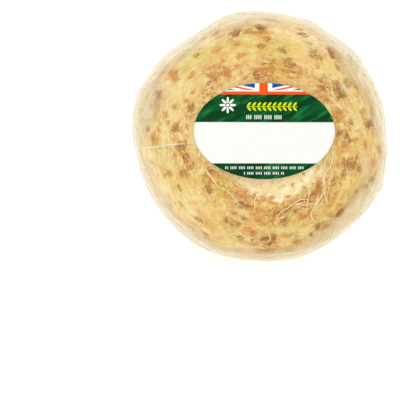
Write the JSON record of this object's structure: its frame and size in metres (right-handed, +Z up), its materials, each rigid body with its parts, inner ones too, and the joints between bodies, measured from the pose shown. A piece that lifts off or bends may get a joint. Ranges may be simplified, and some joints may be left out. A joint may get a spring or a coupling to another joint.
{
  "type": "celeriac",
  "caption": "Whole trimmed celeriac root lying on its side, drawn tight in clear shrink film, with an oval label over its root end.",
  "frame": {"origin": "on the surface it lies on, under the middle of its box", "axes": "+Z up; the root end and the label face -Y, tipped a little up, and the crown faces +Y; +X to the right as seen from the label side"},
  "size_m": [0.1206, 0.109, 0.1159],
  "materials": {
    "root_skin": "matte",
    "clear_film": "gloss",
    "printed_label": "satin"
  },
  "bodies": {
    "root": {"root": "root_skin", "film": "clear_film", "label": "printed_label"}
  },
  "joints": []
}
